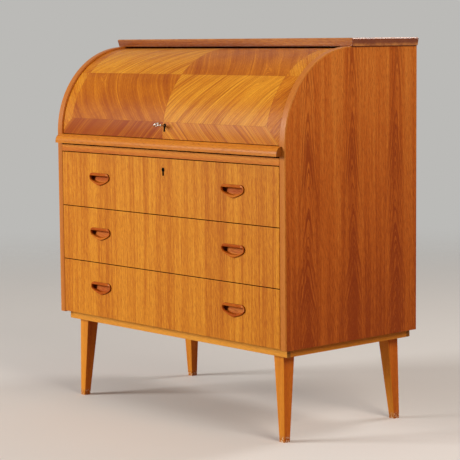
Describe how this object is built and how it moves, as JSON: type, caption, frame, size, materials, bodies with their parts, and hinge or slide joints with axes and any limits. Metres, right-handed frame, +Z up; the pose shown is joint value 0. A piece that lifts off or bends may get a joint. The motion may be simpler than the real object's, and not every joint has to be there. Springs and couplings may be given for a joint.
{
  "type": "roll top secretary desk",
  "caption": "Teak secretary desk with a curved roll top over a pull-out writing leaf and pigeonholes, stacked full-width drawers with shield-shaped pulls, on tapered splayed legs.",
  "frame": {"origin": "on the floor, under the middle of the object's box", "axes": "+Z up, front towards -Y, +X to the right seen from the front"},
  "size_m": [0.9176, 0.4897, 0.977],
  "materials": {
    "front_veneer": "golden straight-grained teak veneer, satin lacquer",
    "teak_veneer": "red-brown teak veneer with cathedral figure, satin lacquer",
    "lid_veneer": "four-way matched teak veneer with cross-banded border, satin lacquer",
    "teak_solid": "solid teak, satin",
    "leg_wood": "stained beech, satin",
    "base_wood": "stained beech, satin",
    "interior_wood": "teak veneer, matte",
    "drawer_wood": "plain beech, matte",
    "back_board": "thin plywood, matte",
    "brass": "aged brass",
    "steel": "nickel-plated steel"
  },
  "bodies": {
    "carcass": {"back_panel": "back_board", "base_front_rail": "base_wood", "base_left_rail": "base_wood", "base_rear_rail": "base_wood", "base_right_rail": "base_wood", "bottom_panel": "drawer_wood", "desk_deck": "drawer_wood", "drawer_slides": "drawer_wood", "front_rail": "front_veneer", "leaf_runners": "drawer_wood", "left_edge_band": "teak_solid", "left_side_panel": "teak_veneer", "leg_front_left": "leg_wood", "leg_front_right": "leg_wood", "leg_rear_left": "leg_wood", "leg_rear_right": "leg_wood", "right_edge_band": "teak_solid", "right_side_panel": "teak_veneer", "top_panel": "teak_veneer", "unit_back": "interior_wood", "unit_floor": "interior_wood", "unit_shelves": "interior_wood", "unit_top": "interior_wood", "unit_uprights": "interior_wood"},
    "roll_top": {"lid_shell": "lid_veneer", "lid_batten": "drawer_wood", "lid_keyhole_liner": "brass", "lid_lock_case": "steel"},
    "key": {"lid_key": "steel"},
    "lock_bolt": {"lid_bolt": "steel"},
    "writing_leaf": {"leaf_board": "teak_veneer", "leaf_lip": "teak_solid", "leaf_strike": "brass", "leaf_stops": "drawer_wood"},
    "lower_drawer": {"drawer_lower_back": "drawer_wood", "drawer_lower_front": "front_veneer", "drawer_lower_left_side": "drawer_wood", "drawer_lower_pulls": "teak_solid", "drawer_lower_right_side": "drawer_wood", "drawer_lower_tray": "drawer_wood"},
    "middle_drawer": {"drawer_middle_back": "drawer_wood", "drawer_middle_front": "front_veneer", "drawer_middle_left_side": "drawer_wood", "drawer_middle_pulls": "teak_solid", "drawer_middle_right_side": "drawer_wood", "drawer_middle_tray": "drawer_wood"},
    "upper_drawer": {"drawer_upper_back": "drawer_wood", "drawer_upper_front": "front_veneer", "drawer_upper_keyhole_liner": "brass", "drawer_upper_left_side": "drawer_wood", "drawer_upper_lock": "steel", "drawer_upper_pulls": "teak_solid", "drawer_upper_right_side": "drawer_wood", "drawer_upper_tray": "drawer_wood"},
    "small_left_drawer": {"small_left_box": "interior_wood", "small_left_front": "interior_wood", "small_left_knob": "interior_wood"},
    "small_right_drawer": {"small_right_box": "interior_wood", "small_right_front": "interior_wood", "small_right_knob": "interior_wood"}
  },
  "joints": [
    {"name": "roll_top_turn", "type": "hinge", "parent": "carcass", "child": "roll_top", "pos_m": [0, 0.013, 0.727], "axis": [-1, 0, 0], "range_deg": [0, 76]},
    {"name": "key_turn", "type": "hinge", "parent": "roll_top", "child": "key", "pos_m": [0, -0.20981, 0.75831], "axis": [0, -0.9903, 0.1392], "range_deg": [0, 90]},
    {"name": "lock_bolt_slide", "type": "slide", "parent": "roll_top", "child": "lock_bolt", "axis": [0, 0, -1], "range_m": [0, 0.0081]},
    {"name": "leaf_slide", "type": "slide", "parent": "carcass", "child": "writing_leaf", "axis": [0, -1, 0], "range_m": [0, 0.23]},
    {"name": "upper_drawer_slide", "type": "slide", "parent": "carcass", "child": "upper_drawer", "axis": [0, -1, 0], "range_m": [0, 0.3]},
    {"name": "middle_drawer_slide", "type": "slide", "parent": "carcass", "child": "middle_drawer", "axis": [0, -1, 0], "range_m": [0, 0.3]},
    {"name": "lower_drawer_slide", "type": "slide", "parent": "carcass", "child": "lower_drawer", "axis": [0, -1, 0], "range_m": [0, 0.3]},
    {"name": "small_left_slide", "type": "slide", "parent": "carcass", "child": "small_left_drawer", "axis": [0, -1, 0], "range_m": [0, 0.11]},
    {"name": "small_right_slide", "type": "slide", "parent": "carcass", "child": "small_right_drawer", "axis": [0, -1, 0], "range_m": [0, 0.11]}
  ],
  "couplings": [
    {"joint": "lock_bolt_slide", "follows": "key_turn", "m_per_rad": 0.005093}
  ]
}
